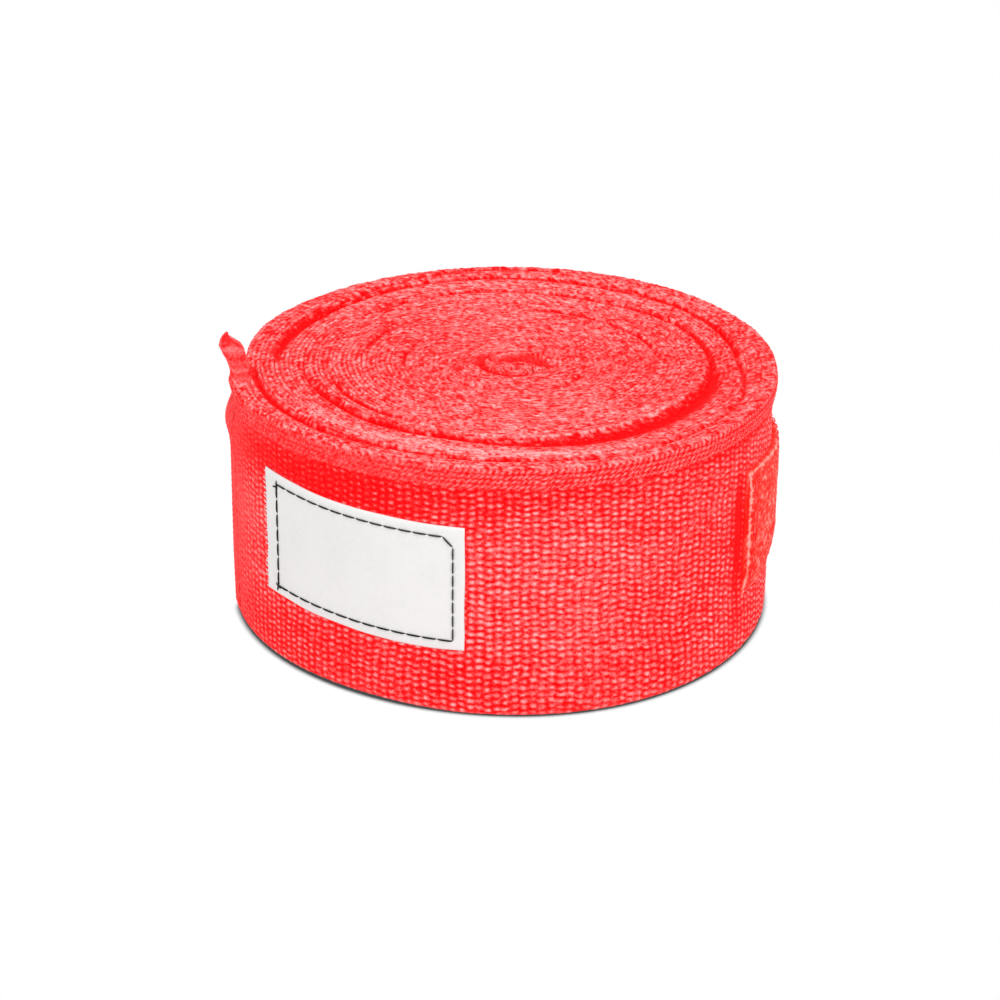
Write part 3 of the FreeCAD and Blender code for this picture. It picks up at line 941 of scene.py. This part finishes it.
def make_loop_stitching():
    """Red stitches round the loop patch, sunk into its pile."""
    def in_pile(along, height, lift):
        return on_patch(along, height, lift - 0.15)

    shapes = framed(in_pile, loop_length, loop_height, 2.2, 0.14)
    make_piece("loop_tape_thread", shapes, "red_thread", "loop_patch_stitching", "roll")


# ---- hook patch

layer_inside = layer_radius - cloth
hook_start = (label_start + label_end) / 2 - degrees_along(hook_length / 2, layer_inside)


def on_hooks(along, height, lift):
    """A point on the hook patch's base, inside the outer layer. lift goes towards the roll."""
    bearing = hook_start + np.degrees(along / layer_inside)
    reach = layer_inside - 0.38 - lift
    return on_layer(bearing, reach, outer_layer_rise + patch_middle - hook_height / 2 + height)


def make_hook_patch():
    """Hook tape: a thin woven base with rows of small hooks that curl back."""
    across = np.linspace(0, 1, 60)[:, None]
    up = np.linspace(0, 1, 50)[None, :]
    along, height = hook_length * across + 0 * up, hook_height * up + 0 * across
    front = on_hooks(along, height, 0.03 * np.sin(along * 4))
    back = on_hooks(along, height, -0.36 + 0 * along)
    level = 0.4 + 0.2 * noise(along, height, 61)
    shapes = [loft(np.concatenate([front, back[:, ::-1]], 1), np.concatenate([level, level], 1))]
    pitch, border, curl = 1.7, 3.2, 0.16
    bend = np.radians(np.linspace(0, 230, 8))
    for row in range(int((hook_height - 2 * border) / pitch) + 1):
        for column in range(int((hook_length - 2 * border) / pitch) + 1):
            start = border + column * pitch
            base = border + row * pitch
            lean = 1 if row % 2 else -1
            rise = np.concatenate([[-0.1, 0.22], 0.4 + curl * np.sin(bend)])
            reach = np.concatenate([[0.0, 0.0], curl * (1 - np.cos(bend))])
            line = on_hooks(start + lean * reach, base + 0 * reach, rise)
            shapes.append(tube(line, 0.075, 4))
    piece = make_piece("hook_tape_patch", shapes, "hook_tape", "hook_patch", "closure")


def make_hook_stitching():
    """Red stitches round the hook patch."""
    shapes = framed(on_hooks, hook_length, hook_height, 2.0, 0.17)
    make_piece("hook_tape_thread", shapes, "red_thread", "hook_patch_stitching", "closure")


# ---- hem and ear

def make_hem():
    """The strip's end turned inwards, and its upper corner, which sticks up as a crumpled ear."""
    middle_radius = layer_radius - (cloth + hem_thickness) / 2
    fold_radius = (cloth + hem_thickness) / 2
    heights = np.linspace(0.6, strip_width - 0.4, 120)[:, None]
    angle = np.radians(np.linspace(90, -90, 13))[None, :]
    hem_turns = np.linspace(0.0, degrees_along(hem_length, layer_inside), 10)[1:]
    fold_along = -fold_radius * np.cos(angle) / layer_radius
    fold_reach = middle_radius + fold_radius * np.sin(angle)
    inner_along = np.radians(hem_turns)[None, :]
    inner_reach = np.full_like(inner_along, layer_inside - hem_thickness)
    back_along = np.radians(hem_turns[::-1])[None, :]
    back_reach = np.full_like(back_along, layer_inside - 0.05)
    seat_along = np.radians(np.array([[0.6, 1.2]]))
    seat_reach = np.array([[layer_inside + 0.2, layer_radius - 0.15]])
    turn = np.concatenate([fold_along, inner_along, back_along, seat_along], 1)
    reach = np.concatenate([fold_reach, inner_reach, back_reach, seat_reach], 1) + 0 * heights
    bearing = end_bearing + np.degrees(turn)
    outward = smooth(middle_radius - 0.5, layer_radius, reach)
    crumple = 0.5 * (noise(heights / 3.5, turn * 20, 71) - 0.5)
    reach = reach + outward * (flap_swell(bearing, heights) + crumple * smooth(30, 42, heights))
    reach = reach - 0.5 * smooth(14, 0, heights) * outward
    dip = flap_dip(bearing - end_bearing) * smooth(30, 50, heights)
    placed = on_layer(bearing, reach, heights + outer_layer_rise - dip)
    dash, _ = weave(heights, turn * layer_radius)
    level = 0.45 + 0.2 * (dash - 0.4) + 0.2 * (noise(heights * 1.7, turn * 90, 72) - 0.5)
    hem = loft(placed, level)
    piece = make_piece("end_hem_cloth", [hem, ear_shape()], "red_weave", "end_hem", "closure")


# The ear's sections, from its root to its tip: height above the edge, middle along the edge, half
# width, half thickness and lean outwards
ear_sections = [
    (-7.5, 2.4, 2.2, 0.5, -0.9),
    (-4.5, 2.5, 2.6, 1.1, -1.1),
    (-1.5, 2.4, 2.6, 1.8, -1.3),
    (1.1, 2.3, 2.5, 2.0, -1.1),
    (3.2, 2.1, 2.4, 2.0, -0.5),
    (4.9, 1.9, 2.3, 2.1, 0.0),
    (5.9, 1.6, 2.1, 2.1, 0.6),
    (6.8, 1.3, 1.6, 1.35, 1.15),
    (7.4, 1.0, 1.2, 0.7, 1.4),
    (8.1, 0.8, 0.6, 0.3, 1.2),
]


def ear_shape():
    """A crumpled tab of doubled cloth, with painted highlight and shade along its creases and a painted
    shadow at its root.
    """
    height, along, half_width, half_thick, lean = np.array(ear_sections).T
    fine = np.linspace(0, len(height) - 1, 64)
    steps = np.arange(len(height))
    height, along, half_width, half_thick, lean = (
        np.interp(fine, steps, v)[:, None] for v in (height, along, half_width, half_thick, lean))
    angle = np.linspace(0, 2 * np.pi, 40, endpoint=False)[None, :]
    across = np.sign(np.cos(angle)) * np.abs(np.cos(angle)) ** 0.7 * half_width
    out = np.sign(np.sin(angle)) * np.abs(np.sin(angle)) ** 0.8 * half_thick
    crease = 0.45 * (noise(across / 1.5 + 9, height / 2.3, 73) - 0.5)
    middle_reach = layer_radius - 0.9 + lean
    reach = middle_reach + out + crease
    bearing = end_bearing + np.degrees((along + across) / layer_radius)
    placed = on_layer(bearing, reach, strip_width + outer_layer_rise + height + 0 * angle)
    # The creases are painted lighter where they bulge out and darker where they sink: painted highlight
    # and shade.
    level = 0.44 + 0.5 * (noise(across * 1.4, height * 1.3, 74) - 0.5) + 0.25 * crease
    # Painted shadow where the ear's root meets the strip's edge.
    level = level - 0.5 * bump(height, 0.6, 0.7) * bump(across, 0.8, 1.3)
    return loft(placed, level)


def make_hem_stitching():
    """One upright row of thread through the hem."""
    def on_hem(along, height, lift):
        bearing = end_bearing + np.degrees(along / layer_radius)
        dip = flap_dip(bearing - end_bearing) * smooth(30, 50, height)
        swell = flap_swell(bearing, height)
        lift = np.maximum(lift, 0.02)
        return on_layer(bearing, layer_radius + swell + lift, outer_layer_rise + height - dip)

    along, inset = 6.5, 2.2
    corners = [(along, inset), (along, strip_width - inset)]
    shapes = run_of_stitches(corners, on_hem, 0.13, 2.4, 0.5, False)
    make_piece("end_hem_thread", shapes, "red_thread", "end_hem_stitching", "closure")


def make_bar_tack():
    """The dense row of thread that sews the thumb loop to the strip."""
    reach = loop_radius(0) - loop_stack / 2
    centre_bearing = seam_side() + degrees_along(sewn_length / 2, loop_radius(0))

    def on_wall(along, height, lift):
        where = centre_bearing + np.degrees(along / reach)
        return on_layer(where, reach - 0.02 - lift, height, centres[1])

    shapes = []
    low, high = (strip_width - bar_tack_height) / 2, (strip_width + bar_tack_height) / 2
    bars, tack_width, slant = 16, 3.4, 0.12
    for number in range(bars):
        along = (number / (bars - 1) - 0.5) * tack_width
        lean = slant if number % 2 else -slant
        shapes.append(stitch_line((along - lean, low), (along + lean, high), on_wall, 0.14))
    make_piece("thumb_loop_thread", shapes, "red_thread", "thumb_loop_bar_tack", "roll")


# ---- floor, light and camera

def make_floor():
    """A white floor: seen from the camera and in glossy reflections it glows white, with a painted soft
    contact shadow from ambient occlusion round the roll; other rays find a plain diffuse floor.
    """
    bpy.ops.mesh.primitive_plane_add(size=4.0, location=(0, 0, 0))
    floor = bpy.context.object
    floor.name = "floor"
    material = bpy.data.materials.new("floor")
    material.use_nodes = True
    nodes, links = material.node_tree.nodes, material.node_tree.links
    nodes.remove(nodes["Principled BSDF"])
    output = nodes["Material Output"]
    diffuse = nodes.new("ShaderNodeBsdfDiffuse")
    set_inputs(diffuse, {"Color": (0.9, 0.9, 0.9, 1.0)})
    # Painted contact shadow: ambient occlusion near the roll turns the floor's glow dark grey.
    contact = nodes.new("ShaderNodeAmbientOcclusion")
    set_inputs(contact, {"Distance": 2.6 * MM})
    contact.samples = 24
    shade = nodes.new("ShaderNodeValToRGB")
    stops = shade.color_ramp.elements
    stops[0].position, stops[0].color = 0.4, (0.07, 0.07, 0.07, 1.0)
    stops[1].position, stops[1].color = 0.68, (1.0, 1.0, 1.0, 1.0)
    links.new(contact.outputs["AO"], shade.inputs["Fac"])
    seen = nodes.new("ShaderNodeEmission")
    links.new(shade.outputs["Color"], seen.inputs["Color"])
    rays = nodes.new("ShaderNodeLightPath")
    direct = nodes.new("ShaderNodeMath")
    direct.operation = "MAXIMUM"
    links.new(rays.outputs["Is Camera Ray"], direct.inputs[0])
    links.new(rays.outputs["Is Glossy Ray"], direct.inputs[1])
    mix = nodes.new("ShaderNodeMixShader")
    links.new(direct.outputs["Value"], mix.inputs["Fac"])
    links.new(diffuse.outputs["BSDF"], mix.inputs[1])
    links.new(seen.outputs["Emission"], mix.inputs[2])
    links.new(mix.outputs["Shader"], output.inputs["Surface"])
    floor.data.materials.append(material)


def make_light():
    """A white surround, a soft lamp from above on the right and a weaker one on the left."""
    world = bpy.data.worlds.new("surround")
    bpy.context.scene.world = world
    world.use_nodes = True
    nodes, links = world.node_tree.nodes, world.node_tree.links
    plain, seen = nodes["Background"], nodes.new("ShaderNodeBackground")
    set_inputs(plain, {"Color": (1.0, 1.0, 1.0, 1.0), "Strength": 0.66})
    set_inputs(seen, {"Color": (1.0, 1.0, 1.0, 1.0), "Strength": 1.0})
    rays = nodes.new("ShaderNodeLightPath")
    mix = nodes.new("ShaderNodeMixShader")
    links.new(rays.outputs["Is Camera Ray"], mix.inputs["Fac"])
    links.new(plain.outputs["Background"], mix.inputs[1])
    links.new(seen.outputs["Background"], mix.inputs[2])
    links.new(mix.outputs["Shader"], nodes["World Output"].inputs["Surface"])
    for name, energy, place in (("key", 3.0, (0.3, -0.45, 0.6)), ("fill", 1.3, (-0.6, -0.35, 0.3))):
        lamp_data = bpy.data.lights.new(name, "AREA")
        lamp_data.shape = "DISK"
        lamp_data.size = 0.5
        lamp_data.energy = energy
        lamp = bpy.data.objects.new(name, lamp_data)
        lamp.location = place
        lamp.rotation_euler = (Vector((0, 0, 0.03)) - lamp.location).to_track_quat("-Z", "Y").to_euler()
        bpy.context.scene.collection.objects.link(lamp)


def make_camera():
    """A long lens a little above the roll, held half a degree off level."""
    elevation, distance, roll = math.radians(24.3), 0.590, math.radians(0.55)
    target = Vector((top_centre[0] * MM, top_centre[1] * MM, strip_width / 2 * MM))
    data = bpy.data.cameras.new("camera")
    data.lens = 106.7
    data.sensor_width = 36.0
    data.shift_x = -0.0047
    data.shift_y = -0.0234
    camera = bpy.data.objects.new("camera", data)
    camera.location = target + distance * Vector((0, -math.cos(elevation), math.sin(elevation)))
    camera.rotation_mode = "QUATERNION"
    upright = (target - camera.location).to_track_quat("-Z", "Y")
    camera.rotation_quaternion = upright @ Quaternion((0, 0, 1), roll)
    bpy.context.scene.collection.objects.link(camera)
    bpy.context.scene.camera = camera


make_camera()
make_light()
make_floor()
make_strip()
make_hem()
make_hem_stitching()
make_label()
make_label_stitching()
make_loop_patch()
make_loop_stitching()
make_hook_patch()
make_hook_stitching()
make_thumb_loop()
make_bar_tack()
bpy.context.scene.view_settings.view_transform = "Standard"
